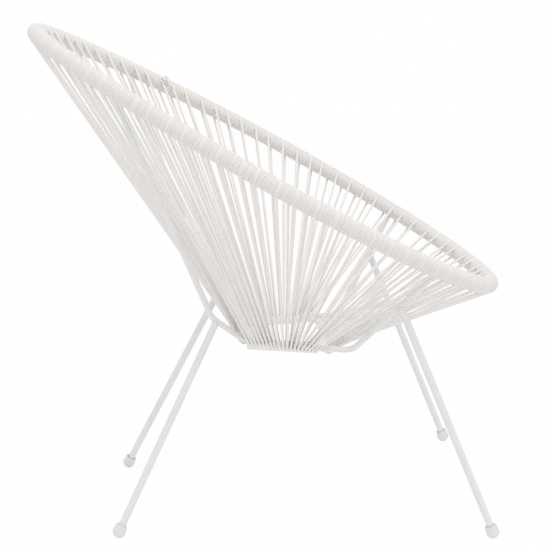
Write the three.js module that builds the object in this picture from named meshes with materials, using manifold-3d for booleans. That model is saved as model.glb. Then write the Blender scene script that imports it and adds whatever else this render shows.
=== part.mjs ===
// A patio chair of the acapulco kind, in millimetres, with +Z up and the floor at Z = 0.
// The sitter faces -Y, so the sitter's left is +X.
// A tilted egg-shaped hoop is wound with cord. The same cord runs in long straight strands between
// the hoop and a small hub, and these strands are the seat. Two bent side rods carry the hoop and
// are the long sides of the hub, two bowed bars are its ends, and four splayed legs carry the rods.

import * as THREE from "three";
import { mergeVertices } from "three/addons/utils/BufferGeometryUtils.js";
import Module from "manifold-3d";

const wasm = await Module();
wasm.setup();

const degree = Math.PI / 180;

// Gap that stands for a weld or a tight fit between two pieces.
const seatGap = 0.3;
// Gap between a cord and the piece that it bends round.
const cordGap = 0.35;

// Seat cord: a plastic cord of round section.
const cord = { diameter: 4, sides: 5 };

// Hoop: an egg in a tilted plane, blunter and wider towards the front, its centre over the origin.
const hoop = {
  halfLength: 438,
  halfWidth: 336,
  frontWideningShare: 0.135,
  endNarrowingShare: 0.08,
  tilt: 30.5 * degree,
  centreHeight: 608,
  tubeDiameter: 19,
  tubeSides: 8,
  woundSides: 10,
  steps: 72,
};

// Side rods: the corners of the left one, from the hoop's rear, under the seat, to the hoop's front.
// Each end is aimed a little below the middle of the hoop's tube, where two members' strands meet.
const rod = { diameter: 10, sides: 8, bendSteps: 4, joinDrop: 6, rearJoinShift: 0.1 };
const rearKnee = { out: 85, back: 105, rise: 52, bendReach: 12 };
const rearBend = { out: 73, back: 42, height: 300, bendReach: 26 };
const frontBend = { out: 120, forward: 127, height: 296, bendReach: 16 };

// Hub: the rods' low runs are its sides, and two bars join them, each bowed outwards and sagging
// at its middle. A bar's rise is that of its ends over the middle of the rods.
const hub = { barDiameter: 10, barSteps: 10 };
const rear = 1;
const front = -1;
const rearBar = { end: rear, reach: 52, rise: 5, bow: 2, sag: 0, cordSpan: 110, pairs: 18 };
const frontBar = { end: front, reach: 82, rise: -7, bow: 20, sag: 4, cordSpan: 156, pairs: 20 };

// Strands: the pairs on each side rod, and the lengths of cord that make up each member's pairs.
const strands = {
  rodPairs: 19,
  rodCordSpan: 114,
  rodCordForward: 15,
  lengthsPerMember: 4,
  hubTurnSteps: 4,
  hoopTurnSteps: 5,
};
// Where a pair's outer and inner strands lie in its pitch.
const outerStrandShare = 0.5;
const innerStrandShare = 1;

// Legs and their feet: round plastic cups, each cut level where it stands.
const leg = { diameter: 12, sides: 12, saddleDepth: 3 };
// A rear leg meets its rod below the knee, and a front leg on the rod's rise to the hoop.
const rearLegSeatShare = 0.12;
const frontLegSeatShare = 0.59;
const rearFoot = { out: 165, back: 273 };
const frontFoot = { out: 236, forward: 343 };
const foot = {
  diameter: 21.6,
  mouthDiameter: 19,
  mouthHeight: 9.5,
  boreDepth: 11.5,
  treadDepth: 0.6,
  sides: 12,
  domeSteps: 5,
};

// Knot in the end of the hoop's winding, so many pairs of strands from the rear. It leans inwards.
const knot = { pairs: 11.4, lean: 45 * degree, radius: 4.6, cordDiameter: 3.8, cordSteps: 48 };

const paint = new THREE.MeshStandardMaterial({ color: 0xe2e3e3, roughness: 0.42, metalness: 0.1 });
const plasticCord = new THREE.MeshStandardMaterial({ color: 0xeae6df, roughness: 0.5 });
const footPlastic = new THREE.MeshStandardMaterial({ color: 0xdcdddd, roughness: 0.55 });

const cordRadius = cord.diameter / 2;
const woundDiameter = hoop.tubeDiameter + 2 * cord.diameter;
const pairsToRod = rearBar.pairs / 2;
const rearJoinPairs = pairsToRod + rod.rearJoinShift;
const frontJoinPairs = pairsToRod + strands.rodPairs;
const allPairs = rearBar.pairs + 2 * strands.rodPairs + frontBar.pairs;

const left = 1;
const right = -1;
const sideNames = new Map([[left, "left"], [right, "right"]]);

// Solids and cuts

function toSolid(geometry) {
  const bare = geometry.clone().deleteAttribute("normal").deleteAttribute("uv");
  const merged = mergeVertices(bare);
  return new wasm.Manifold(new wasm.Mesh({
    numProp: 3,
    vertProperties: merged.attributes.position.array,
    triVerts: new Uint32Array(merged.index.array),
  }));
}

function toGeometry(solid) {
  const { vertProperties, triVerts } = solid.getMesh();
  const geometry = new THREE.BufferGeometry();
  geometry.setAttribute("position", new THREE.BufferAttribute(vertProperties, 3));
  geometry.setIndex(new THREE.BufferAttribute(triVerts, 1));
  geometry.computeVertexNormals();
  return geometry;
}

// The geometry less every cutter, where all of them are in the chair's own frame.
function cut(geometry, ...cutters) {
  return toGeometry(cutters.reduce((rest, each) => rest.subtract(toSolid(each)), toSolid(geometry)));
}

// Directions in which a path passes each of its points.
function tangentsOf(points, isLoop, endTangents) {
  const last = points.length - 1;
  const step = (from, to) => points[to].clone().sub(points[from]).normalize();
  return points.map((_, i) => {
    if (isLoop) return step((i + last) % (last + 1), (i + 1) % (last + 1));
    if (i === 0) return endTangents?.[0] ?? step(0, 1);
    if (i === last) return endTangents?.[1] ?? step(last - 1, last);
    return step(i - 1, i).add(step(i, i + 1)).normalize();
  });
}

// A round tube along points, closed by flat ends, or joined end to end where `upright` is given:
// the direction square to the plane that such a loop lies in.
function sweepTube(points, diameter, sides, { upright = null, endTangents = null } = {}) {
  const tangents = tangentsOf(points, upright !== null, endTangents);
  const first = tangents[0];
  const lying = new THREE.Vector3(first.y, -first.x, 0);
  const across = upright ?? (lying.lengthSq() > 0 ? lying : new THREE.Vector3(1, 0, 0));
  const normal = across.clone();
  const position = [];
  points.forEach((point, i) => {
    normal.addScaledVector(tangents[i], -normal.dot(tangents[i])).normalize();
    const binormal = new THREE.Vector3().crossVectors(tangents[i], normal);
    for (let s = 0; s < sides; s++) {
      const angle = (s / sides) * 2 * Math.PI;
      const corner = point.clone()
        .addScaledVector(normal, (diameter / 2) * Math.cos(angle))
        .addScaledVector(binormal, (diameter / 2) * Math.sin(angle));
      position.push(corner.x, corner.y, corner.z);
    }
  });
  const index = [];
  const rings = points.length;
  for (let i = 0; i < (upright ? rings : rings - 1); i++) {
    const here = i * sides;
    const next = ((i + 1) % rings) * sides;
    for (let s = 0; s < sides; s++) {
      const t = (s + 1) % sides;
      index.push(here + s, here + t, next + t, here + s, next + t, next + s);
    }
  }
  if (!upright) {
    const end = (rings - 1) * sides;
    for (let s = 1; s < sides - 1; s++) index.push(0, s + 1, s, end, end + s, end + s + 1);
  }
  const geometry = new THREE.BufferGeometry();
  geometry.setAttribute("position", new THREE.Float32BufferAttribute(position, 3));
  geometry.setIndex(index);
  geometry.computeVertexNormals();
  return geometry;
}

// Points along straight runs whose corners are rounded, each over its own reach.
function bentPath(corners, reaches, stepsPerBend) {
  const points = [corners[0]];
  for (let i = 1; i < corners.length - 1; i++) {
    const toward = (other) => corners[i].clone()
      .addScaledVector(corners[other].clone().sub(corners[i]).normalize(), reaches[i - 1]);
    const bend = new THREE.QuadraticBezierCurve3(toward(i - 1), corners[i], toward(i + 1));
    points.push(...bend.getPoints(stepsPerBend));
  }
  points.push(corners.at(-1));
  return points;
}

function mirrored(point, side) {
  return new THREE.Vector3(side * point.x, point.y, point.z);
}

function namedMesh(name, geometry, material) {
  const mesh = new THREE.Mesh(geometry, material);
  mesh.name = name;
  return mesh;
}

// Hoop

// The hoop's centreline from the rear, by the left, to the front and back by the right.
class HoopCurve extends THREE.Curve {
  getPoint(share, target = new THREE.Vector3()) {
    const angle = share * 2 * Math.PI;
    const ahead = Math.cos(angle);
    const along = hoop.halfLength * ahead;
    const widthShare = 1 - hoop.frontWideningShare * ahead - hoop.endNarrowingShare * ahead ** 2;
    return target.set(
      hoop.halfWidth * Math.sin(angle) * widthShare,
      along * Math.cos(hoop.tilt),
      hoop.centreHeight + along * Math.sin(hoop.tilt),
    );
  }
}

const hoopCurve = new HoopCurve();
hoopCurve.arcLengthDivisions = 8 * hoop.steps;
const hoopUpright = new THREE.Vector3(0, -Math.sin(hoop.tilt), Math.cos(hoop.tilt));

// Share of the hoop's length that lies so many pairs of strands from the rear, by the left.
function hoopShare(pairs) {
  return (pairs / allPairs + 1) % 1;
}

function hoopTube(diameter, sides) {
  const points = hoopCurve.getPoints(hoop.steps).slice(0, -1);
  return sweepTube(points, diameter, sides, { upright: hoopUpright });
}

// Side rods

// Point inside the hoop's tube that a side rod's end is aimed at.
function joinPoint(pairs) {
  return hoopCurve.getPointAt(hoopShare(pairs)).addScaledVector(hoopUpright, -rod.joinDrop);
}

// A rear knee's rise is over the bend in front of it.
function rearKneePoint() {
  return new THREE.Vector3(rearKnee.out, rearKnee.back, rearBend.height + rearKnee.rise);
}

function rodPath(side) {
  const corners = [
    joinPoint(rearJoinPairs),
    rearKneePoint(),
    new THREE.Vector3(rearBend.out, rearBend.back, rearBend.height),
    new THREE.Vector3(frontBend.out, -frontBend.forward, frontBend.height),
    joinPoint(frontJoinPairs),
  ].map((corner) => mirrored(corner, side));
  const reaches = [rearKnee, rearBend, frontBend].map((bend) => bend.bendReach);
  return bentPath(corners, reaches, rod.bendSteps);
}

function rodTube(side, clearance = 0) {
  return sweepTube(rodPath(side), rod.diameter + 2 * clearance, rod.sides);
}

// Hub

// Point on the line of a side rod's low run.
function lowRunPoint(side, back) {
  const share = (rearBend.back - back) / (rearBend.back + frontBend.forward);
  return new THREE.Vector3(
    side * (rearBend.out + share * (frontBend.out - rearBend.out)),
    back,
    rearBend.height + share * (frontBend.height - rearBend.height),
  );
}

// Point on the line of a side rod where a bar meets it.
function barSeat(side, { end, reach }) {
  return lowRunPoint(side, end * reach);
}

// Point on a bar's centreline.
function barPoint(bar, out) {
  const seat = barSeat(left, bar);
  const share = 1 - (out / seat.x) ** 2;
  return new THREE.Vector3(
    out,
    seat.y + bar.end * bar.bow * share,
    seat.z + bar.rise - bar.sag * share,
  );
}

function barTube(bar) {
  const ends = [right, left].map((side) => barSeat(side, bar).x);
  const points = [];
  for (let i = 0; i <= hub.barSteps; i++) {
    points.push(barPoint(bar, THREE.MathUtils.lerp(...ends, i / hub.barSteps)));
  }
  return sweepTube(points, hub.barDiameter, rod.sides);
}

// Strands

// The hub's four members in the order that the winding takes them, each with the point that lies
// so many pairs along it.
function hubBar(name, bar) {
  const pitch = bar.cordSpan / bar.pairs;
  const out = (pairs) => bar.end * pitch * (pairs - bar.pairs / 2);
  return {
    name,
    pairs: bar.pairs,
    diameter: hub.barDiameter,
    pointAt: (pairs) => barPoint(bar, out(pairs)),
  };
}

function hubRod(side) {
  const pitch = strands.rodCordSpan / strands.rodPairs;
  const back = (pairs) => -strands.rodCordForward - side * pitch * (pairs - strands.rodPairs / 2);
  return {
    name: sideNames.get(side),
    pairs: strands.rodPairs,
    diameter: rod.diameter,
    pointAt: (pairs) => lowRunPoint(side, back(pairs)),
  };
}

const members = [
  hubBar("rear", rearBar),
  hubRod(left),
  hubBar("front", frontBar),
  hubRod(right),
];

// Axes for a turn of cord round a piece: `away` along the strand that leaves it, `under` to the
// outside of the seat.
function turnAxes(tangent, strand) {
  const away = strand.clone().addScaledVector(tangent, -strand.dot(tangent)).normalize();
  const under = new THREE.Vector3().crossVectors(tangent, away);
  return { away, under: under.z > 0 ? under.negate() : under };
}

// One length of cord: up from the hub on the outside, over the hoop, down on the inside and under
// the hub, for each of its pairs. Its two ends lie under the hub.
function strandPath(member, firstPair, pairCount, pairsBefore) {
  const hubAt = (pairs) => member.pointAt(pairs);
  const hoopAt = (pairs) => hoopCurve.getPointAt(hoopShare(pairsBefore + pairs));
  const strandAt = (pairs) => hoopAt(pairs).sub(hubAt(pairs)).normalize();
  const hubAxes = (pairs) => {
    const tangent = hubAt(pairs + outerStrandShare).sub(hubAt(pairs - outerStrandShare)).normalize();
    return turnAxes(tangent, strandAt(pairs));
  };
  const hoopAxes = (pairs) => {
    const tangent = hoopCurve.getTangentAt(hoopShare(pairsBefore + pairs));
    return turnAxes(tangent, strandAt(pairs));
  };
  const turn = (radius, steps) => (radius + cordGap + cordRadius) / Math.cos(Math.PI / (2 * steps));
  const hubTurn = turn(member.diameter / 2, strands.hubTurnSteps);
  const hoopTurn = turn(woundDiameter / 2, strands.hoopTurnSteps);

  const points = [];
  // Angle 0 is the inside of the hub, a quarter turn its underside and a half turn the outside.
  const passUnderHub = (pair, fromAngle, toAngle) => {
    const steps = Math.round((strands.hubTurnSteps * (toAngle - fromAngle)) / Math.PI);
    for (let i = 0; i <= steps; i++) {
      const angle = fromAngle + ((toAngle - fromAngle) * i) / steps;
      const spacing = 1 - innerStrandShare + outerStrandShare;
      const pairs = pair - 1 + innerStrandShare + (spacing * angle) / Math.PI;
      const { away, under } = hubAxes(pairs);
      points.push(hubAt(pairs)
        .addScaledVector(under, -hubTurn * Math.cos(angle))
        .addScaledVector(away, -hubTurn * Math.sin(angle)));
    }
  };
  // Angle 0 is the outside of the hoop, a quarter turn its top and a half turn the inside.
  const passOverHoop = (pair) => {
    for (let i = 0; i <= strands.hoopTurnSteps; i++) {
      const share = i / strands.hoopTurnSteps;
      const pairs = pair + outerStrandShare + (innerStrandShare - outerStrandShare) * share;
      const { away, under } = hoopAxes(pairs);
      points.push(hoopAt(pairs)
        .addScaledVector(under, hoopTurn * Math.cos(Math.PI * share))
        .addScaledVector(away, hoopTurn * Math.sin(Math.PI * share)));
    }
  };

  const nextPair = firstPair + pairCount;
  const underside = Math.PI / 2;
  const cutAngle = cordGap / 2 / hubTurn;
  passUnderHub(firstPair, underside + cutAngle, Math.PI);
  for (let pair = firstPair; pair < nextPair; pair++) {
    passOverHoop(pair);
    if (pair + 1 < nextPair) passUnderHub(pair + 1, 0, Math.PI);
  }
  passUnderHub(nextPair, 0, underside - cutAngle);
  const endShare = (innerStrandShare - 1 + outerStrandShare) / 2;
  const endTangents = [firstPair, nextPair].map((pair) => hubAxes(pair + endShare).under);
  return { points, endTangents };
}

// Every length of cord in the seat, with its name.
function strandLengths() {
  const found = [];
  const { lengthsPerMember } = strands;
  let pairsBefore = -pairsToRod;
  for (const member of members) {
    for (let i = 0; i < lengthsPerMember; i++) {
      const firstPair = Math.round((i * member.pairs) / lengthsPerMember);
      const nextPair = Math.round(((i + 1) * member.pairs) / lengthsPerMember);
      const path = strandPath(member, firstPair, nextPair - firstPair, pairsBefore);
      found.push({ name: `seat_cord_${member.name}_${i + 1}`, ...path });
    }
    pairsBefore += member.pairs;
  }
  return found;
}

// Least distance between two straight runs, a to b and c to d.
function runDistance(a, b, c, d) {
  const ab = b.clone().sub(a);
  const cd = d.clone().sub(c);
  const ac = c.clone().sub(a);
  const abab = ab.dot(ab);
  const cdcd = cd.dot(cd);
  const abcd = ab.dot(cd);
  const spread = abab * cdcd - abcd * abcd;
  const clamp = (value) => Math.min(Math.max(value, 0), 1);
  let s = spread > 0 ? clamp((ab.dot(ac) * cdcd - cd.dot(ac) * abcd) / spread) : 0;
  const t = clamp((abcd * s - cd.dot(ac)) / cdcd);
  s = clamp((abcd * t + ab.dot(ac)) / abab);
  return a.clone().addScaledVector(ab, s).distanceTo(c.clone().addScaledVector(cd, t));
}

// Least gap between a length of cord and itself, leaving out runs that join round one bend.
function leastSelfGap(points) {
  const travelled = [0];
  for (let i = 1; i < points.length; i++) {
    travelled.push(travelled[i - 1] + points[i].distanceTo(points[i - 1]));
  }
  let least = Infinity;
  for (let i = 1; i < points.length; i++) {
    for (let j = i + 1; j < points.length; j++) {
      if (travelled[j - 1] - travelled[i] < 2 * cord.diameter) continue;
      least = Math.min(least, runDistance(points[i - 1], points[i], points[j - 1], points[j]));
    }
  }
  return least - cord.diameter;
}

// Knot in the winding: a trefoil that lies on the hoop's upper and inner side, on the left.
function knotMesh() {
  const { radius, cordDiameter, cordSteps } = knot;
  const geometry = new THREE.TorusKnotGeometry(radius, cordDiameter / 2, cordSteps, cord.sides, 2, 3);
  const share = hoopShare(knot.pairs);
  const inward = hoopCurve.getTangentAt(share).cross(hoopUpright);
  const out = inward.multiplyScalar(Math.sin(knot.lean))
    .addScaledVector(hoopUpright, Math.cos(knot.lean));
  const mesh = namedMesh("hoop_winding_knot", geometry, plasticCord);
  const lift = woundDiameter / 2 + seatGap + (radius + cordDiameter) / 2;
  mesh.position.copy(hoopCurve.getPointAt(share)).addScaledVector(out, lift);
  mesh.quaternion.setFromUnitVectors(new THREE.Vector3(0, 0, 1), out);
  return mesh;
}

// Legs and feet

// A cup with a domed bottom, its middle at the origin and its mouth up, bored for the leg.
function footCup() {
  const radius = foot.diameter / 2;
  const bore = leg.diameter / 2 + seatGap;
  const boreBottom = foot.mouthHeight - foot.boreDepth;
  const profile = [new THREE.Vector2(0, boreBottom), new THREE.Vector2(0, -radius)];
  for (let i = 1; i <= foot.domeSteps; i++) {
    const angle = (i / foot.domeSteps) * (Math.PI / 2);
    profile.push(new THREE.Vector2(radius * Math.sin(angle), -radius * Math.cos(angle)));
  }
  profile.push(
    new THREE.Vector2(foot.mouthDiameter / 2, foot.mouthHeight),
    new THREE.Vector2(bore, foot.mouthHeight),
    new THREE.Vector2(bore, boreBottom),
    new THREE.Vector2(0, boreBottom),
  );
  // A lathe turns about Y, so the cup is stood up on Z.
  return new THREE.LatheGeometry(profile, foot.sides).rotateX(Math.PI / 2);
}

// A leg with its foot: from the floor to a saddle on the side rod.
function legGroup(side, name, place, seat) {
  const standing = foot.diameter / 2 - foot.treadDepth;
  const group = new THREE.Group();
  group.position.set(side * place.x, place.y, standing);
  const axis = mirrored(seat, side).sub(group.position);
  const reach = axis.length();
  group.quaternion.setFromUnitVectors(new THREE.Vector3(0, 0, 1), axis.normalize());
  group.updateMatrixWorld(true);
  const back = group.matrixWorld.clone().invert();

  const bottom = foot.mouthHeight - foot.boreDepth + seatGap;
  const length = reach - leg.saddleDepth - bottom;
  const bar = new THREE.CylinderGeometry(leg.diameter / 2, leg.diameter / 2, length, leg.sides)
    .rotateX(Math.PI / 2)
    .translate(0, 0, bottom + length / 2)
    .applyMatrix4(group.matrixWorld);
  const legGeometry = cut(bar, rodTube(side, seatGap)).applyMatrix4(back);

  const floor = new THREE.BoxGeometry(4 * foot.diameter, 4 * foot.diameter, foot.diameter)
    .translate(group.position.x, group.position.y, -foot.diameter / 2);
  const footGeometry = cut(footCup().applyMatrix4(group.matrixWorld), floor).applyMatrix4(back);

  group.add(namedMesh(`${name}_leg`, legGeometry, paint));
  group.add(namedMesh(`${name}_foot`, footGeometry, footPlastic));
  return group;
}

// The chair

const chair = new THREE.Group();

function addHoop() {
  const group = new THREE.Group();
  const rods = [left, right].map((side) => rodTube(side, seatGap));
  const bore = hoopTube(hoop.tubeDiameter + 2 * seatGap, hoop.tubeSides);
  const winding = cut(hoopTube(woundDiameter, hoop.woundSides), bore, ...rods);
  group.add(namedMesh("hoop_tube", hoopTube(hoop.tubeDiameter, hoop.tubeSides), paint));
  group.add(namedMesh("hoop_winding", winding, plasticCord));
  group.add(knotMesh());
  chair.add(group);
}

function addFrame() {
  const group = new THREE.Group();
  const clearHoop = hoopTube(hoop.tubeDiameter + 2 * seatGap, hoop.tubeSides);
  for (const side of [left, right]) {
    const geometry = cut(rodTube(side), clearHoop);
    group.add(namedMesh(`${sideNames.get(side)}_side_rod`, geometry, paint));
  }
  const clearRods = [left, right].map((side) => rodTube(side, seatGap));
  group.add(namedMesh("rear_hub_bar", cut(barTube(rearBar), ...clearRods), paint));
  group.add(namedMesh("front_hub_bar", cut(barTube(frontBar), ...clearRods), paint));
  chair.add(group);
}

function addLegs() {
  const rearSeat = rearKneePoint().lerp(lowRunPoint(left, rearBend.back), rearLegSeatShare);
  const rearPlace = new THREE.Vector2(rearFoot.out, rearFoot.back);
  const frontPlace = new THREE.Vector2(frontFoot.out, -frontFoot.forward);
  const frontSeat = lowRunPoint(left, -frontBend.forward)
    .lerp(joinPoint(frontJoinPairs), frontLegSeatShare);
  for (const side of [left, right]) {
    const sideName = sideNames.get(side);
    chair.add(legGroup(side, `${sideName}_rear`, rearPlace, rearSeat));
    chair.add(legGroup(side, `${sideName}_front`, frontPlace, frontSeat));
  }
}

function addStrands() {
  const group = new THREE.Group();
  let least = Infinity;
  for (const { name, points, endTangents } of strandLengths()) {
    const geometry = sweepTube(points, cord.diameter, cord.sides, { endTangents });
    group.add(namedMesh(name, geometry, plasticCord));
    least = Math.min(least, leastSelfGap(points));
  }
  console.log(`least gap of a seat cord to itself: ${least.toFixed(2)} mm`);
  chair.add(group);
}

addHoop();
addFrame();
addLegs();
addStrands();

export default chair;
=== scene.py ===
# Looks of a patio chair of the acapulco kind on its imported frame, in metres, with +Z up.
# The sitter faces -Y, so the sitter's left is +X, and the floor is at Z = 0.
import bisect
import math
import random

import bmesh
import bpy
from mathutils import Matrix, Vector


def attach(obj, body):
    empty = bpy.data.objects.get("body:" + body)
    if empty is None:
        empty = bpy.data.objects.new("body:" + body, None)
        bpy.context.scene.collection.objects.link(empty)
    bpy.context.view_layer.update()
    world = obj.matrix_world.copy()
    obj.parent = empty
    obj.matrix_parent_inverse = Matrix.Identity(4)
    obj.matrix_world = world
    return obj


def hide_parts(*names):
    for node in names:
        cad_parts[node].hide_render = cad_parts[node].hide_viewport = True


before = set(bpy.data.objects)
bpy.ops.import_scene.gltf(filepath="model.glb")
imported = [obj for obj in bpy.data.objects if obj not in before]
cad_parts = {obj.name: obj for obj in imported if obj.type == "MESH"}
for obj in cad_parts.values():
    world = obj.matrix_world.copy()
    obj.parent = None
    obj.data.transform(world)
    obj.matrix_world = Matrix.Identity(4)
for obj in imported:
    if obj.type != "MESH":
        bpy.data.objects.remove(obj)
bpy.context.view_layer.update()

scene = bpy.context.scene
scene.view_settings.view_transform = "Standard"


# Camera
# A long lens to the sitter's right of the chair, a little above the hoop's middle, so that the seat
# shows from its side and the hub is seen past the near strands.

camera_at = Vector((-2.3156, 0.1057, 0.9314))
camera_aim = Vector((0, -0.0072, 0.4024))
camera_roll = math.radians(-1.5)
camera_lens = 89.58
film_width = 36


def aimed(place, aim):
    """The matrix of a camera or a lamp that stands at a place and looks at its aim."""
    return Matrix.Translation(place) @ (aim - place).to_track_quat("-Z", "Y").to_matrix().to_4x4()


camera_data = bpy.data.cameras.new("camera")
camera_data.sensor_width = film_width
camera_data.lens = camera_lens
camera = bpy.data.objects.new("camera", camera_data)
scene.collection.objects.link(camera)
camera.matrix_world = aimed(camera_at, camera_aim) @ Matrix.Rotation(camera_roll, 4, "Z")
scene.camera = camera


# Floor and light
# A plain white floor in a white room, seen as pure white, on which the chair keeps a faint shadow.
# One wide soft box hangs over the chair, and the room's walls fill the rest.

floor_half = 6
floor_color = (0.96, 0.96, 0.96, 1)
pure_white = (1, 1, 1, 1)
shadow_share = 0.10
room_level = 0.92
softbox_at = Vector((-0.9, -0.5, 2.7))
softbox_size = 2.2
softbox_power = 14


def add_node(tree, kind, inputs=None, **settings):
    """A new node of a tree, with its settings, and with each input linked or given its value."""
    node = tree.nodes.new(kind)
    for name, value in settings.items():
        setattr(node, name, value)
    for name, value in (inputs or {}).items():
        if isinstance(value, bpy.types.NodeSocket):
            tree.links.new(value, node.inputs[name])
        else:
            node.inputs[name].default_value = value
    return node


def add_math(tree, operation, *values):
    """The result of one operation on sockets and numbers."""
    return add_node(tree, "ShaderNodeMath", dict(enumerate(values)), operation=operation).outputs[0]


def empty_tree(owner):
    """The node tree of a material or a world, cleared of its nodes."""
    owner.use_nodes = True
    owner.node_tree.nodes.clear()
    return owner.node_tree


def seen_directly(tree):
    """1 for the rays by which the white room is seen, straight, in a gloss or through glass."""
    path = add_node(tree, "ShaderNodeLightPath")
    seen = add_math(tree, "MAXIMUM", path.outputs["Is Camera Ray"], path.outputs["Is Glossy Ray"])
    return add_math(tree, "MAXIMUM", seen, path.outputs["Is Transmission Ray"])


floor_material = bpy.data.materials.new("white floor")
tree = empty_tree(floor_material)
share = add_math(tree, "MULTIPLY", seen_directly(tree), 1 - shadow_share)
matt = add_node(tree, "ShaderNodeBsdfDiffuse", {"Color": floor_color})
white = add_node(tree, "ShaderNodeEmission", {"Color": pure_white, "Strength": 1})
mixed = add_node(tree, "ShaderNodeMixShader", {0: share, 1: matt.outputs[0], 2: white.outputs[0]})
add_node(tree, "ShaderNodeOutputMaterial", {"Surface": mixed.outputs[0]})

floor_mesh = bpy.data.meshes.new("studio_floor")
floor_mesh.from_pydata([
    (x * floor_half, y * floor_half, 0) for x, y in ((-1, -1), (1, -1), (1, 1), (-1, 1))
], [], [(0, 1, 2, 3)])
floor_mesh.materials.append(floor_material)
floor = bpy.data.objects.new("studio_floor", floor_mesh)
scene.collection.objects.link(floor)

room = bpy.data.worlds.new("white room")
scene.world = room
tree = empty_tree(room)
level = add_node(tree, "ShaderNodeMapRange", {
    "Value": seen_directly(tree), "To Min": room_level, "To Max": 1,
})
walls = add_node(tree, "ShaderNodeBackground", {"Color": pure_white, "Strength": level.outputs[0]})
add_node(tree, "ShaderNodeOutputWorld", {"Surface": walls.outputs[0]})

softbox_data = bpy.data.lights.new("softbox", "AREA")
softbox_data.size = softbox_size
softbox_data.energy = softbox_power
softbox = bpy.data.objects.new("softbox", softbox_data)
scene.collection.objects.link(softbox)
softbox.matrix_world = aimed(softbox_at, camera_aim)


# Hoop tube
# The bent steel tube that the whole seat hangs from, powder coated before it was wound. Its
# winding hides all of it, so its solid stays as it is and takes the frame's paint.

paint_color = (0.786, 0.788, 0.790, 1)
paint_shade = (0.75, 0.753, 0.756, 1)


def add_group(name, kind, inputs, outputs):
    """A node group with named inputs and outputs, and its two end nodes."""
    group = bpy.data.node_groups.new(name, kind)
    for socket_name, socket_kind, value in inputs:
        socket = group.interface.new_socket(socket_name, in_out="INPUT", socket_type=socket_kind)
        if value is not None:
            socket.default_value = value
    for socket_name, socket_kind in outputs:
        group.interface.new_socket(socket_name, in_out="OUTPUT", socket_type=socket_kind)
    return group, group.nodes.new("NodeGroupInput"), group.nodes.new("NodeGroupOutput")


def give_outputs(group, end, **sockets):
    """Link each named socket to the output of that name."""
    for name, socket in sockets.items():
        group.links.new(socket, end.inputs[name])


def tinted(group, given, share):
    """The group's colour, turned to its shade colour by a share."""
    return add_node(group, "ShaderNodeMix", {
        0: share, 6: given.outputs["Color"], 7: given.outputs["Shade Color"],
    }, data_type="RGBA").outputs[2]


def dulled(group, given, noise):
    """The group's roughness, from its least to its most as the noise rises."""
    return add_node(group, "ShaderNodeMapRange", {
        "Value": noise, "From Min": 0.3, "From Max": 0.7,
        "To Min": given.outputs["Least Roughness"], "To Max": given.outputs["Most Roughness"],
    }).outputs[0]


skin_outputs = [
    ("Color", "NodeSocketColor"), ("Roughness", "NodeSocketFloat"), ("Height", "NodeSocketFloat"),
]

# The skin of sprayed powder and of moulded plastic: cloudy colour, and a fine pebbled grain.
grain, given, end = add_group("fine grain", "ShaderNodeTree", [
    ("Vector", "NodeSocketVector", None),
    ("Color", "NodeSocketColor", None),
    ("Shade Color", "NodeSocketColor", None),
    ("Grain Scale", "NodeSocketFloat", 1400),
    ("Cloud Scale", "NodeSocketFloat", 28),
    ("Least Roughness", "NodeSocketFloat", 0.34),
    ("Most Roughness", "NodeSocketFloat", 0.46),
], skin_outputs)
clouds = add_node(grain, "ShaderNodeTexNoise", {
    "Vector": given.outputs["Vector"], "Scale": given.outputs["Cloud Scale"],
    "Detail": 4, "Roughness": 0.6,
})
pebbles = add_node(grain, "ShaderNodeTexNoise", {
    "Vector": given.outputs["Vector"], "Scale": given.outputs["Grain Scale"],
    "Detail": 2, "Roughness": 0.5,
})
cloud_share = add_node(grain, "ShaderNodeMapRange", {
    "Value": clouds.outputs["Fac"], "From Min": 0.35, "From Max": 0.68,
})
give_outputs(
    grain, end, Color=tinted(grain, given, cloud_share.outputs[0]),
    Roughness=dulled(grain, given, clouds.outputs["Fac"]), Height=pebbles.outputs["Fac"])


def skinned_material(
        name, group, color, shade, bump_strength, bump_depth, attribute=None, **values):
    """A material with a group's skin, placed by Object coordinates or by the mesh's attribute."""
    material = bpy.data.materials.new(name)
    tree = empty_tree(material)
    if attribute:
        place = add_node(tree, "ShaderNodeAttribute", attribute_name=attribute).outputs["Vector"]
    else:
        place = add_node(tree, "ShaderNodeTexCoord").outputs["Object"]
    named_values = {key.replace("_", " ").title(): value for key, value in values.items()}
    skin = add_node(tree, "ShaderNodeGroup", {
        "Vector": place, "Color": color, "Shade Color": shade, **named_values,
    }, node_tree=group)
    bump = add_node(tree, "ShaderNodeBump", {
        "Height": skin.outputs["Height"], "Strength": bump_strength, "Distance": bump_depth,
    })
    shader = add_node(tree, "ShaderNodeBsdfPrincipled", {
        "Base Color": skin.outputs["Color"], "Roughness": skin.outputs["Roughness"],
        "Normal": bump.outputs["Normal"],
    })
    add_node(tree, "ShaderNodeOutputMaterial", {"Surface": shader.outputs[0]})
    return material


powder_coat = skinned_material(
    "powder coat", grain, paint_color, paint_shade, bump_strength=0.6, bump_depth=0.00006)

hoop_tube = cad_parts["hoop_tube"]
hoop_tube.data.materials.clear()
hoop_tube.data.materials.append(powder_coat)


# Hoop winding
# Soft PVC cord, 4 mm thick, wound turn against turn round the whole hoop. Eight turns lie between
# two pairs of the seat's strands, and a pair's outer strand is one of those turns drawn down.

cord_diameter = 0.004
cord_sides = 14
cord_color = (0.812, 0.786, 0.764, 1)
cord_shade = (0.775, 0.748, 0.724, 1)

# The hoop is an egg in a tilted plane, blunter and wider towards the front.
hoop_half_length = 0.438
hoop_half_width = 0.336
front_widening_share = 0.135
end_narrowing_share = 0.08
hoop_tilt = math.radians(30.5)
hoop_centre_height = 0.608
hoop_tube_diameter = 0.019
hoop_upright = Vector((0, -math.sin(hoop_tilt), math.cos(hoop_tilt)))
hoop_steps = 2400
direction_reach = 0.02

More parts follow.
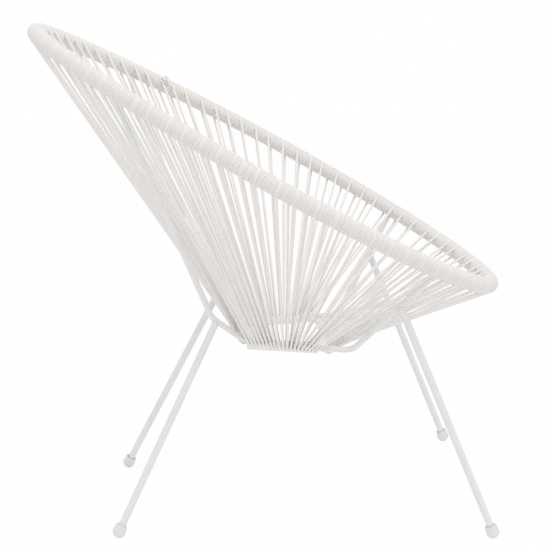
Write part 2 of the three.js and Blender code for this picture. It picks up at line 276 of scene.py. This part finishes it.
# Pairs of strands on each member of the hub, which the hoop's length is counted in.
rear_pairs = 18
rod_pairs = 19
front_pairs = 20
all_pairs = rear_pairs + 2 * rod_pairs + front_pairs

turns_per_pair = 8
core_steps_per_turn = 2
winding_steps = 16
winding_sides = 7
winding_squeeze = 0.0005
winding_unevenness = 0.0002
winding_radius = hoop_tube_diameter / 2 + cord_diameter / 2
sharp_bend = 0.9


def hoop_line(angle):
    """Point on the hoop's centreline, from its rear by the left."""
    back = math.cos(angle)
    along = hoop_half_length * back
    fullness = 1 - front_widening_share * back - end_narrowing_share * back ** 2
    return Vector((
        hoop_half_width * math.sin(angle) * fullness,
        along * math.cos(hoop_tilt),
        hoop_centre_height + along * math.sin(hoop_tilt),
    ))


hoop_points = [hoop_line(2 * math.pi * i / hoop_steps) for i in range(hoop_steps + 1)]
hoop_travel = [0]
for here, there in zip(hoop_points, hoop_points[1:]):
    hoop_travel.append(hoop_travel[-1] + (there - here).length)


def hoop_at(pairs):
    """Point on the hoop's centreline so many pairs of strands from its rear, by the left."""
    travelled = pairs / all_pairs % 1 * hoop_travel[-1]
    i = min(bisect.bisect_right(hoop_travel, travelled), hoop_steps) - 1
    share = (travelled - hoop_travel[i]) / (hoop_travel[i + 1] - hoop_travel[i])
    return hoop_points[i].lerp(hoop_points[i + 1], share)


def hoop_direction(pairs):
    """Direction of the hoop's centreline there."""
    return (hoop_at(pairs + direction_reach) - hoop_at(pairs - direction_reach)).normalized()


# Extruded cord: streaks that run its length, dull and bright stretches, and a faint drawn surface.
streaks, given, end = add_group("cord streaks", "ShaderNodeTree", [
    ("Vector", "NodeSocketVector", None),
    ("Color", "NodeSocketColor", None),
    ("Shade Color", "NodeSocketColor", None),
    ("Least Roughness", "NodeSocketFloat", 0.36),
    ("Most Roughness", "NodeSocketFloat", 0.5),
], skin_outputs)
drawn = add_node(streaks, "ShaderNodeMapping", {
    "Vector": given.outputs["Vector"], "Scale": (1, 1, 0.02),
})
lines = add_node(streaks, "ShaderNodeTexNoise", {
    "Vector": drawn.outputs[0], "Scale": 900, "Detail": 3, "Roughness": 0.55,
})
drifting = add_node(streaks, "ShaderNodeMapping", {
    "Vector": given.outputs["Vector"], "Scale": (6, 6, 1),
})
drift = add_node(streaks, "ShaderNodeTexNoise", {
    "Vector": drifting.outputs[0], "Scale": 9, "Detail": 3, "Roughness": 0.6,
})
stain = add_math(streaks, "MULTIPLY_ADD", lines.outputs["Fac"], 0.4, drift.outputs["Fac"])
stain_share = add_node(streaks, "ShaderNodeMapRange", {
    "Value": stain, "From Min": 0.5, "From Max": 0.95,
})
give_outputs(
    streaks, end, Color=tinted(streaks, given, stain_share.outputs[0]),
    Roughness=dulled(streaks, given, lines.outputs["Fac"]), Height=lines.outputs["Fac"])


def cord_material(name, color, shade, **values):
    """PVC whose streaks follow the cord, by the cord_place that its mesh carries."""
    return skinned_material(
        name, streaks, color, shade, bump_strength=0.4, bump_depth=0.00003,
        attribute="cord_place", **values)


wound_pvc = cord_material(
    "wound PVC cord", cord_color, cord_shade, least_roughness=0.34, most_roughness=0.46)


def captured(tree, geometry, kind, name, value):
    """A geometry that keeps a value at each of its points, and that value's socket."""
    node = add_node(tree, "GeometryNodeCaptureAttribute", {"Geometry": geometry})
    node.capture_items.new(kind, name)
    tree.links.new(value, node.inputs[name])
    return node.outputs["Geometry"], node.outputs[name]


# The round skin of anything that is swept along a line, with each point's place on it, round and
# along, kept as cord_place.
skin_tree, given, end = add_group("round skin", "GeometryNodeTree", [
    ("Line", "NodeSocketGeometry", None),
    ("Diameter", "NodeSocketFloat", cord_diameter),
    ("Sides", "NodeSocketInt", cord_sides),
], [("Skin", "NodeSocketGeometry")])
length = add_node(skin_tree, "GeometryNodeSplineParameter").outputs["Length"]
measured, along = captured(skin_tree, given.outputs["Line"], "FLOAT", "Along", length)
ring = add_node(skin_tree, "GeometryNodeCurvePrimitiveCircle", {
    "Resolution": given.outputs["Sides"],
    "Radius": add_math(skin_tree, "MULTIPLY", given.outputs["Diameter"], 0.5),
})
position = add_node(skin_tree, "GeometryNodeInputPosition").outputs[0]
section, around = captured(skin_tree, ring.outputs["Curve"], "VECTOR", "Round", position)
swept = add_node(skin_tree, "GeometryNodeCurveToMesh", {
    "Curve": measured, "Profile Curve": section, "Fill Caps": True,
})
split_place = add_node(skin_tree, "ShaderNodeSeparateXYZ", {0: around})
cord_place = add_node(skin_tree, "ShaderNodeCombineXYZ", {
    0: split_place.outputs[0], 1: split_place.outputs[1], 2: along,
})
stored = add_node(skin_tree, "GeometryNodeStoreNamedAttribute", {
    "Geometry": swept.outputs[0], "Name": "cord_place", "Value": cord_place.outputs[0],
}, data_type="FLOAT_VECTOR", domain="POINT")
smooth = add_node(skin_tree, "GeometryNodeSetShadeSmooth", {
    "Geometry": stored.outputs["Geometry"], "Shade Smooth": True,
}, domain="FACE")
bend = add_node(skin_tree, "GeometryNodeInputMeshEdgeAngle")
sharp = add_node(skin_tree, "FunctionNodeCompare", {
    0: bend.outputs["Unsigned Angle"], 1: sharp_bend,
}, data_type="FLOAT", operation="GREATER_THAN")
edged = add_node(skin_tree, "GeometryNodeSetShadeSmooth", {
    "Geometry": smooth.outputs[0], "Selection": sharp.outputs[0], "Shade Smooth": False,
}, domain="EDGE")
give_outputs(skin_tree, end, Skin=edged.outputs[0])


def end_in_skin(tree, line, given, end):
    """End a tree in the round skin along its line, with the tree's own sizes and material."""
    skin = add_node(tree, "GeometryNodeGroup", {
        "Line": line, "Diameter": given.outputs["Diameter"], "Sides": given.outputs["Sides"],
    }, node_tree=skin_tree)
    real = add_node(tree, "GeometryNodeRealizeInstances", {"Geometry": skin.outputs["Skin"]})
    covered = add_node(tree, "GeometryNodeSetMaterial", {
        "Geometry": real.outputs[0], "Material": given.outputs["Material"],
    })
    give_outputs(tree, end, Geometry=covered.outputs[0])


def carried(tree, name, kind):
    """The socket of a value that the line's points carry."""
    node = add_node(tree, "GeometryNodeInputNamedAttribute", {"Name": name}, data_type=kind)
    return next(socket for socket in node.outputs if socket.enabled and socket.name == "Attribute")


# A close winding. Its line carries a turn number and two axes of its section at each point.
winding_tree, given, end = add_group("close winding", "GeometryNodeTree", [
    ("Line", "NodeSocketGeometry", None),
    ("Points", "NodeSocketInt", winding_steps),
    ("Winding Radius", "NodeSocketFloat", winding_radius),
    ("Diameter", "NodeSocketFloat", cord_diameter),
    ("Sides", "NodeSocketInt", winding_sides),
    ("Unevenness", "NodeSocketFloat", winding_unevenness),
    ("Material", "NodeSocketMaterial", None),
], [("Geometry", "NodeSocketGeometry")])
core = add_node(winding_tree, "GeometryNodeMeshToCurve", {"Mesh": given.outputs["Line"]})
fine = add_node(winding_tree, "GeometryNodeResampleCurve", {
    "Curve": core.outputs[0], "Count": given.outputs["Points"],
}, mode="COUNT")
turn_number = carried(winding_tree, "turn", "FLOAT")
angle = add_math(winding_tree, "MULTIPLY", turn_number, 2 * math.pi)
wander = add_node(winding_tree, "ShaderNodeTexNoise", {
    "W": turn_number, "Scale": 0.9, "Detail": 1,
}, noise_dimensions="1D")
centred = add_math(winding_tree, "SUBTRACT", wander.outputs["Fac"], 0.5)
reach = add_math(
    winding_tree, "MULTIPLY_ADD", centred, given.outputs["Unevenness"],
    given.outputs["Winding Radius"])
offsets = []
for axis, operation in (("upright", "COSINE"), ("inward", "SINE")):
    share = add_math(winding_tree, operation, angle)
    offsets.append(add_node(winding_tree, "ShaderNodeVectorMath", {
        0: carried(winding_tree, axis, "FLOAT_VECTOR"),
        "Scale": add_math(winding_tree, "MULTIPLY", share, reach),
    }, operation="SCALE").outputs[0])
offset = add_node(winding_tree, "ShaderNodeVectorMath", dict(enumerate(offsets)), operation="ADD")
wound = add_node(winding_tree, "GeometryNodeSetPosition", {
    "Geometry": fine.outputs[0], "Offset": offset.outputs[0],
})
end_in_skin(winding_tree, wound.outputs[0], given, end)


def grown_piece(name, tree, lines, closed=False, carries=None, **inputs):
    """A plain mesh piece that a tree grows from lines of points, which may carry values."""
    points, edges = [], []
    for line in lines:
        first = len(points)
        points += line
        edges += [(i, i + 1) for i in range(first, len(points) - 1)]
        if closed:
            edges.append((len(points) - 1, first))
    source = bpy.data.meshes.new(name + "_line")
    source.from_pydata(points, edges, [])
    for key, values in (carries or {}).items():
        if isinstance(values[0], Vector):
            data = source.attributes.new(key, "FLOAT_VECTOR", "POINT").data
            data.foreach_set("vector", [x for value in values for x in value])
        else:
            source.attributes.new(key, "FLOAT", "POINT").data.foreach_set("value", values)
    carrier = bpy.data.objects.new(name + "_line", source)
    grow = carrier.modifiers.new("grow", "NODES")
    grow.node_group = tree
    for item in tree.interface.items_tree:
        key = item.name.lower().replace(" ", "_")
        if item.in_out == "INPUT" and key in inputs:
            grow[item.identifier] = inputs[key]
    scene.collection.objects.link(carrier)
    mesh = bpy.data.meshes.new_from_object(
        carrier.evaluated_get(bpy.context.evaluated_depsgraph_get()))
    bpy.data.objects.remove(carrier)
    mesh.name = name
    piece = bpy.data.objects.new(name, mesh)
    scene.collection.objects.link(piece)
    return piece


turns = all_pairs * turns_per_pair
core_steps = core_steps_per_turn * turns
core_pairs = [all_pairs * i / core_steps for i in range(core_steps + 1)]
winding = grown_piece(
    "wound_cord", winding_tree, [[hoop_at(pairs) for pairs in core_pairs]],
    carries={
        "turn": [pairs * turns_per_pair for pairs in core_pairs],
        "upright": [hoop_upright] * len(core_pairs),
        "inward": [hoop_direction(pairs).cross(hoop_upright) for pairs in core_pairs],
    },
    points=turns * winding_steps, winding_radius=winding_radius,
    diameter=cord_diameter + winding_squeeze, sides=winding_sides,
    unevenness=winding_unevenness, material=wound_pvc,
)
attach(winding, "root")
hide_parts("hoop_winding")


# Winding knot
# The end of the winding's cord, tied in a small overhand knot and pulled down hard, on the hoop's
# upper and inner side near its rear. Its cut tail lies on the turns beside it.

knot_pairs = 11.4
knot_lean = math.radians(45)
knot_radius = 0.0040
knot_height = 0.0032
knot_cord = 0.0041
knot_sink = 0.0004
knot_loops = 3
knot_rounds = 2
knot_turned = 1.2
knot_steps = 120
knot_start, knot_stop = 0.02, 0.97
tail_steps = 7
tail_step_pairs = 0.05
tail_settle_steps = 4

# A round bar or cord along each line.
round_tree, given, end = add_group("round bar", "GeometryNodeTree", [
    ("Line", "NodeSocketGeometry", None),
    ("Diameter", "NodeSocketFloat", cord_diameter),
    ("Sides", "NodeSocketInt", cord_sides),
    ("Material", "NodeSocketMaterial", None),
], [("Geometry", "NodeSocketGeometry")])
core = add_node(round_tree, "GeometryNodeMeshToCurve", {"Mesh": given.outputs["Line"]})
end_in_skin(round_tree, core.outputs[0], given, end)

knot_along = hoop_direction(knot_pairs)
knot_inward = knot_along.cross(hoop_upright)
knot_out = math.cos(knot_lean) * hoop_upright + math.sin(knot_lean) * knot_inward
knot_aside = knot_out.cross(knot_along)
knot_rest = winding_radius + cord_diameter / 2 + knot_cord / 2 - knot_sink


def trefoil(share):
    """Point of the knot: three loops that lie flat on the winding, made in two rounds."""
    turn = 2 * math.pi * knot_rounds * share
    weave = knot_loops / knot_rounds * turn
    spread = knot_radius * (2 + math.cos(weave)) / 2
    along = spread * math.cos(turn - knot_turned)
    aside = spread * math.sin(turn - knot_turned)
    out = knot_rest + knot_height * (1 + math.sin(weave)) / 2
    return hoop_at(knot_pairs) + along * knot_along + aside * knot_aside + out * knot_out


knot_line = [
    trefoil(knot_start + (knot_stop - knot_start) * i / knot_steps) for i in range(knot_steps + 1)
]
tail_start = knot_line[-1] - hoop_at(knot_pairs)
tail_along = tail_start.dot(knot_along) * knot_along
tail_out = tail_start - tail_along
for i in range(1, tail_steps + 1):
    settled = min(i / tail_settle_steps, 1)
    radius = tail_out.length + (knot_rest - tail_out.length) * settled
    hoop_point = hoop_at(knot_pairs + tail_step_pairs * i)
    knot_line.append(hoop_point + tail_along + radius * tail_out.normalized())
knot = grown_piece(
    "winding_knot", round_tree, [knot_line], diameter=knot_cord, sides=cord_sides,
    material=wound_pvc)
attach(knot, "root")
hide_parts("hoop_winding_knot")


# Side rods
# Two solid steel rods, 10 mm thick, each bent cold in three places: down from the hoop's rear,
# level under the seat and up to the hoop's front. Both ends are welded to the hoop's tube.

rod_diameter = 0.010
rod_sides = 28
rear_knee = Vector((0.085, 0.105, 0.352))
rear_bend = Vector((0.073, 0.042, 0.300))
front_bend = Vector((0.120, -0.127, 0.296))
rod_bend_reaches = (0.012, 0.026, 0.016)
rod_bend_steps = 14
rear_join_shift = 0.1
rear_join_pairs = rear_pairs / 2 + rear_join_shift
front_join_pairs = rear_pairs / 2 + rod_pairs
join_drop = 0.006
long_run = 0.02
firm_gap = 0.002
both_sides = (("left", 1), ("right", -1))


def mirrored(point, side):
    """A left side's point or direction, on the side that is asked for."""
    return Vector((side * point.x, point.y, point.z))


def join_point(pairs):
    """Point in the hoop's tube that a rod's end is aimed at."""
    return hoop_at(pairs) - join_drop * hoop_upright


def bent_line(corners, reaches, steps):
    """A line with straight runs, whose corners are rounded, each over its own reach."""
    line = [corners[0]]
    for before, corner, after, reach in zip(corners, corners[1:], corners[2:], reaches):
        start = corner + reach * (before - corner).normalized()
        stop = corner + reach * (after - corner).normalized()
        for i in range(steps + 1):
            share = i / steps
            line.append(start.lerp(corner, share).lerp(corner.lerp(stop, share), share))
    return line + [corners[-1]]


def firmed(line):
    """The line with one more point near each end of a long run, to keep its skin straight there."""
    firm = [line[0]]
    for here, there in zip(line, line[1:]):
        if (there - here).length > long_run:
            step = firm_gap * (there - here).normalized()
            firm += [here + step, there - step]
        firm.append(there)
    return firm


rod_corners = [
    join_point(rear_join_pairs), rear_knee, rear_bend, front_bend, join_point(front_join_pairs),
]
for side_name, side in both_sides:
    corners = [mirrored(corner, side) for corner in rod_corners]
    line = firmed(bent_line(corners, rod_bend_reaches, rod_bend_steps))
    rod = grown_piece(
        f"{side_name}_rod", round_tree, [line], diameter=rod_diameter, sides=rod_sides,
        material=powder_coat)
    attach(rod, "root")
    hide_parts(f"{side_name}_side_rod")


# Hub bars
# Two short bars of the same rod, bent to a shallow bow, that close the hub at its rear and front.
# Each is butt welded between the side rods.

# A bar meets the rods at its reach, towards the rear (end 1) or the front (end -1). It rises over
# them, bows outwards and sags at its middle, and its ends are bent up to meet them.
rear_bar = {"end": 1, "reach": 0.052, "rise": 0.005, "bow": 0.002, "sag": 0, "end_lift": 0}
front_bar = {
    "end": -1, "reach": 0.082, "rise": -0.007, "bow": 0.020, "sag": 0.004, "end_lift": 0.007,
}
bar_end_length = 0.018
bar_end_depth = rod_diameter / 4
bar_steps = 32


def eased(low, high, value):
    """0 up to the low value and 1 from the high one, with a soft start and stop between them."""
    share = min(max((value - low) / (high - low), 0), 1)
    return share * share * (3 - 2 * share)


def low_run_point(side, back):
    """Point on the middle of a side rod's low run, where that run crosses the given back."""
    share = (rear_bend.y - back) / (rear_bend.y - front_bend.y)
    return mirrored(rear_bend.lerp(front_bend, share), side)


def bar_seat(bar, side):
    """Point on the middle of a side rod that a bar's end is aimed at."""
    return low_run_point(side, bar["end"] * bar["reach"])


def bar_point(bar, out):
    """Point on a bar's centreline, so far out from the chair's middle."""
    seat = bar_seat(bar, 1)
    share = 1 - (out / seat.x) ** 2
    lift = bar["end_lift"] * eased(seat.x - bar_end_length, seat.x, abs(out))
    return Vector((
        out,
        seat.y + bar["end"] * bar["bow"] * share,
        seat.z + bar["rise"] - bar["sag"] * share + lift,
    ))


for bar_name, bar in (("rear", rear_bar), ("front", front_bar)):
    half = bar_seat(bar, 1).x - bar_end_depth
    line = [bar_point(bar, half * (2 * i / bar_steps - 1)) for i in range(bar_steps + 1)]
    piece = grown_piece(
        f"{bar_name}_bar", round_tree, [line], diameter=rod_diameter, sides=rod_sides,
        material=powder_coat)
    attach(piece, "root")
    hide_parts(f"{bar_name}_hub_bar")


# Seat strands
# The seat itself: PVC cord strung in 76 pairs of straight strands from the hoop to the hub's four
# members. It goes over the hoop, down the inside, twice round its member and up the outside.

# The strung cord is the same PVC as the winding but is painted lighter than it. This is painted
# light that makes up for the shade among the seat's strands, most of all round the hub.
strand_color_painted_lighter = (0.855, 0.828, 0.807, 1)
strand_shade_painted_lighter = (0.815, 0.786, 0.763, 1)
rear_cord_span = 0.110
front_cord_span = 0.156
rod_cord_span = 0.114
rod_cord_forward = 0.015
lengths_per_member = 4
cord_play = 0.0001

# Round its member, a cord makes two and a half turns, from the seat's inside to its outside, and
# moves on by about half a pair. Its turns pile up a little on the seat's side. Two lengths of cord
# meet under the member, a quarter turn before the second one's first strand.
hub_wrap = 5 * math.pi
hub_wrap_steps = 45
hub_wrap_pairs = 0.55
hub_turn_radius = rod_diameter / 2 + cord_diameter / 2 + cord_play
hub_turn_pile = 0.0004
hub_direction_reach = 0.5
length_end = hub_wrap - math.pi / 2
length_end_gap = 0.02
length_end_steps = 5

# Over the hoop, a cord lies as one of the winding's turns up the outside, then crosses to the inner
# strand's place and rises on to the turns. Seeded draws vary it, by a whole turn and by some slack.
hoop_turn_steps = 14
outer_strand_share = 0.5
crossing_pairs = 0.469
crossing_start = 0.45
rise_start, rise_stop = 0.68, 0.92
rise_share = 0.35
sunk_radius = winding_radius + cord_play
raised_radius = winding_radius + rise_share * cord_diameter
strand_leads = (-1, 0, 0, 0, 1)
strand_slack = 0.09
strand_seed = 7
strand_draws = random.Random(strand_seed)

strand_pvc_painted_lighter = cord_material(
    "strung PVC cord painted lighter", strand_color_painted_lighter, strand_shade_painted_lighter, least_roughness=0.38, most_roughness=0.52)


def bar_member(name, bar, cord_span, pairs):
    """A bar's name and pairs, and the point on it after so many of them, by the left."""
    return name, pairs, lambda at: bar_point(bar, bar["end"] * cord_span * (at / pairs - 0.5))


def rod_member(name, side):
    """A rod's name and pairs, and the point on it after so many of them, by the left."""
    return name, rod_pairs, lambda at: low_run_point(
        side, -rod_cord_forward - side * rod_cord_span * (at / rod_pairs - 0.5))


def turn_axes(direction, strand):
    """Axes of a turn round a piece: along the strand that leaves it, and to the seat's outside."""
    away = (strand - strand.dot(direction) * direction).normalized()
    under = direction.cross(away)
    return away, -under if under.z > 0 else under


def strand_line(hub_at, first_pair, next_pair, pairs_before):
    """One length of cord, from under the hub through its pairs of strands to under the hub."""
    line = []

    def strand_at(pairs):
        """Direction of a strand there, from the hub to the hoop."""
        return (hoop_at(pairs_before + pairs) - hub_at(pairs)).normalized()

    def turn_round_hub(pair, start, stop, steps):
        """Add the turns round the member between two angles, from 0 at the seat's inside."""
        for i in range(steps + 1):
            angle = start + (stop - start) * i / steps
            pairs = pair + hub_wrap_pairs * angle / hub_wrap
            way = hub_at(pairs + hub_direction_reach) - hub_at(pairs - hub_direction_reach)
            away, under = turn_axes(way.normalized(), strand_at(pairs))
            radius = hub_turn_radius + hub_turn_pile * max(-math.sin(angle), 0)
            line.append(hub_at(pairs) - radius * (math.cos(angle) * under + math.sin(angle) * away))

    def turn_over_hoop(pair):
        """Add the bend over the hoop, from a pair's outer strand to its inner one."""
        lead = strand_draws.choice(strand_leads)
        crossing = crossing_pairs + strand_draws.uniform(-strand_slack, strand_slack)
        for i in range(hoop_turn_steps + 1):
            share = i / hoop_turn_steps
            turn = lead + (share - 0.5) / 2
            pairs = pair + outer_strand_share + turn / turns_per_pair
            pairs += crossing * eased(crossing_start, 1, share)
            away, under = turn_axes(hoop_direction(pairs_before + pairs), strand_at(pairs))
            rise = eased(rise_start, rise_stop, share)
            radius = sunk_radius + (raised_radius - sunk_radius) * rise
            angle = math.pi * share
            out = math.cos(angle) * under + math.sin(angle) * away
            line.append(hoop_at(pairs_before + pairs) + radius * out)

    turn_round_hub(first_pair, length_end + length_end_gap, hub_wrap, length_end_steps)
    for pair in range(first_pair, next_pair):
        turn_over_hoop(pair)
        if pair + 1 < next_pair:
            turn_round_hub(pair + 1, 0, hub_wrap, hub_wrap_steps)
    turn_round_hub(
        next_pair, 0, length_end - length_end_gap, hub_wrap_steps - length_end_steps)
    return line


def length_start(i, member_pairs):
    """The pair of strands that one of a member's lengths of cord starts with."""
    return math.floor(i * member_pairs / lengths_per_member + 0.5)


# The pairs count from the hoop's rear, so half of the rear bar's come before the first.
pairs_before = -rear_pairs // 2
for member_name, member_pairs, hub_at in (
    bar_member("rear", rear_bar, rear_cord_span, rear_pairs),
    rod_member("left", 1),
    bar_member("front", front_bar, front_cord_span, front_pairs),
    rod_member("right", -1),
):
    for i in range(lengths_per_member):
        line = strand_line(
            hub_at, length_start(i, member_pairs), length_start(i + 1, member_pairs), pairs_before)
        strands = grown_piece(
            f"{member_name}_strands_{i + 1}", round_tree, [firmed(line)],
            diameter=cord_diameter, sides=cord_sides, material=strand_pvc_painted_lighter)
        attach(strands, "root")
        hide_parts(f"seat_cord_{member_name}_{i + 1}")
    pairs_before += member_pairs


# Legs
# Four straight steel tubes, 12 mm thick, splayed to the floor. Each is welded by its top against a
# side rod, the rear ones below the knee and the front ones on the rise to the hoop.

leg_diameter = 0.012
leg_sides = 28
leg_bottom_depth = 0.0015
leg_saddle_depth = 0.003
rear_leg_seat_share = 0.12
front_leg_seat_share = 0.59
foot_diameter = 0.0216
tread_depth = 0.0006
foot_height = foot_diameter / 2 - tread_depth
rear_foot_middle = Vector((0.165, 0.273, foot_height))
front_foot_middle = Vector((0.236, -0.343, foot_height))

legs = []
for side_name, side in both_sides:
    for end_name, foot_middle, run_start, run_stop, seat_share in (
        ("rear", rear_foot_middle, rear_knee, rear_bend, rear_leg_seat_share),
        ("front", front_foot_middle, front_bend, rod_corners[-1], front_leg_seat_share),
    ):
        foot = mirrored(foot_middle, side)
        seat = mirrored(run_start.lerp(run_stop, seat_share), side)
        legs.append({
            "name": f"{side_name}_{end_name}",
            "foot": foot,
            "seat": seat,
            "way": (seat - foot).normalized(),
            "rod_way": mirrored((run_stop - run_start).normalized(), side),
        })

for leg in legs:
    bottom = leg["foot"] - leg_bottom_depth * leg["way"]
    top = leg["seat"] - leg_saddle_depth * leg["way"]
    tube = grown_piece(
        f"{leg['name']}_tube", round_tree, [firmed([bottom, top])],
        diameter=leg_diameter, sides=leg_sides, material=powder_coat)
    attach(tube, "root")
    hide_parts(f"{leg['name']}_leg")


# Welds
# The small rippled beads that hold the legs and the hub's bars to the side rods, coated over with
# the same powder as the rest of the frame.

weld_diameter = 0.0026
weld_sides = 10
weld_steps = 72
weld_search = 0.05
weld_smoothings = 4
weld_ripple = 0.16
ripple_steps = 6
leg_weld_drop = 0.003
bar_weld_drop = 0.0015
bar_way_share = 0.95

# A round bead along each line, which carries a ripple from 0 to 1 at each point.
weld_tree, given, end = add_group("rippled bead", "GeometryNodeTree", [
    ("Line", "NodeSocketGeometry", None),
    ("Diameter", "NodeSocketFloat", weld_diameter),
    ("Sides", "NodeSocketInt", weld_sides),
    ("Ripple", "NodeSocketFloat", weld_ripple),
    ("Material", "NodeSocketMaterial", None),
], [("Geometry", "NodeSocketGeometry")])
core = add_node(weld_tree, "GeometryNodeMeshToCurve", {"Mesh": given.outputs["Line"]})
rippled = add_node(weld_tree, "GeometryNodeSetCurveRadius", {
    "Curve": core.outputs[0],
    "Radius": add_math(
        weld_tree, "MULTIPLY_ADD", carried(weld_tree, "ripple", "FLOAT"),
        given.outputs["Ripple"], 1),
})
end_in_skin(weld_tree, rippled.outputs[0], given, end)


def reach_to_rod(start, way, rod_point, rod_way):
    """How far a line runs before it meets a rod's skin, without end where it misses the rod."""
    gap = start - rod_point
    across = way - way.dot(rod_way) * rod_way
    apart = gap - gap.dot(rod_way) * rod_way
    a, b, c = across.dot(across), across.dot(apart), apart.dot(apart) - (rod_diameter / 2) ** 2
    inside = b * b - a * c
    return (-b - math.sqrt(inside)) / a if inside > 0 else math.inf


def weld_line(seat, way, diameter, rod_way, drop):
    """A line round a bar's end where its wall meets a rod, and always a drop short of its seat."""
    u = way.cross(rod_way).normalized()
    v = u.cross(way)
    line = []
    for i in range(weld_steps):
        angle = 2 * math.pi * i / weld_steps
        out = math.cos(angle) * u + math.sin(angle) * v
        start = seat - weld_search * way + diameter / 2 * out
        reach = reach_to_rod(start, way, seat, rod_way)
        line.append(start + min(reach, weld_search - drop) * way)
    for _ in range(weld_smoothings):
        line = [
            (line[i - 1] + 2 * line[i] + line[(i + 1) % weld_steps]) / 4 for i in range(weld_steps)
        ]
    return line


weld_lines = [
    weld_line(leg["seat"], leg["way"], leg_diameter, leg["rod_way"], leg_weld_drop) for leg in legs
]
for bar in (rear_bar, front_bar):
    for _, side in both_sides:
        out = bar_seat(bar, side).x
        seat = bar_point(bar, out)
        way = (seat - bar_point(bar, out * bar_way_share)).normalized()
        rod_way = mirrored((front_bend - rear_bend).normalized(), side)
        weld_lines.append(weld_line(seat, way, rod_diameter, rod_way, bar_weld_drop))
bead = [0.5 + 0.5 * math.sin(2 * math.pi * i / ripple_steps) for i in range(weld_steps)]
welds = grown_piece(
    "frame_welds", weld_tree, weld_lines, closed=True, carries={"ripple": bead * len(weld_lines)},
    diameter=weld_diameter, sides=weld_sides, ripple=weld_ripple, material=powder_coat)
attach(welds, "root")


# Feet
# Four moulded plastic cups pushed on the ends of the legs. Each has a round bottom worn flat where
# it stands, a skirt that narrows a little above it, and a rounded lip at the mouth.

foot_color = (0.765, 0.768, 0.77, 1)
foot_shade = (0.72, 0.723, 0.725, 1)
foot_sides = 56
bottom_steps = 12
foot_skirt = [(0.01074, 0.0008), (0.01045, 0.0018), (0.01028, 0.0030), (0.01015, 0.0084)]
lip_middle = (0.0082, 0.0101)
lip_radius = 0.0016
lip_steps = 8
mouth_height = 0.0094
bore_play = 0.0001
bore_radius = leg_diameter / 2 + bore_play
bore_bottom = -0.002
same_point = 0.000001

foot_plastic = skinned_material(
    "foot plastic", grain, foot_color, foot_shade, bump_strength=0.6, bump_depth=0.00008,
    grain_scale=1000, cloud_scale=60, least_roughness=0.48, most_roughness=0.6)


def arc(middle, radius, start, stop, steps):
    """Points of an arc from one angle to another, 0 being straight out."""
    angles = [start + (stop - start) * i / steps for i in range(steps + 1)]
    return [
        (middle[0] + radius * math.cos(angle), middle[1] + radius * math.sin(angle))
        for angle in angles
    ]


# Half of the cup's section, each point so far out and so far up from the middle of its round bottom.
foot_section = [
    *arc((0, 0), foot_diameter / 2, -math.pi / 2, 0, bottom_steps),
    *foot_skirt,
    *arc(lip_middle, lip_radius, 0, math.pi, lip_steps),
    (bore_radius, mouth_height),
    (bore_radius, bore_bottom),
    (0, bore_bottom),
]

for leg in legs:
    shape = bmesh.new()
    corners = [shape.verts.new((out, 0, up)) for out, up in foot_section]
    edges = [shape.edges.new(pair) for pair in zip(corners, corners[1:])]
    bmesh.ops.spin(
        shape, geom=corners + edges, axis=(0, 0, 1), cent=(0, 0, 0),
        angle=2 * math.pi, steps=foot_sides, use_merge=True)
    bmesh.ops.remove_doubles(shape, verts=shape.verts, dist=same_point)
    splay = Vector((0, 0, 1)).rotation_difference(leg["way"])
    shape.transform(Matrix.Translation(leg["foot"]) @ splay.to_matrix().to_4x4())
    tread = bmesh.ops.bisect_plane(
        shape, geom=shape.verts[:] + shape.edges[:] + shape.faces[:],
        plane_co=(0, 0, 0), plane_no=(0, 0, -1), clear_outer=True)
    rim = [part for part in tread["geom_cut"] if isinstance(part, bmesh.types.BMEdge)]
    bmesh.ops.holes_fill(shape, edges=rim, sides=0)
    bmesh.ops.recalc_face_normals(shape, faces=shape.faces[:])
    for face in shape.faces:
        face.smooth = len(face.verts) < 5
    mesh = bpy.data.meshes.new(f"{leg['name']}_cup")
    shape.to_mesh(mesh)
    shape.free()
    mesh.materials.append(foot_plastic)
    cup = bpy.data.objects.new(f"{leg['name']}_cup", mesh)
    scene.collection.objects.link(cup)
    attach(cup, "root")
    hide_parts(f"{leg['name']}_foot")
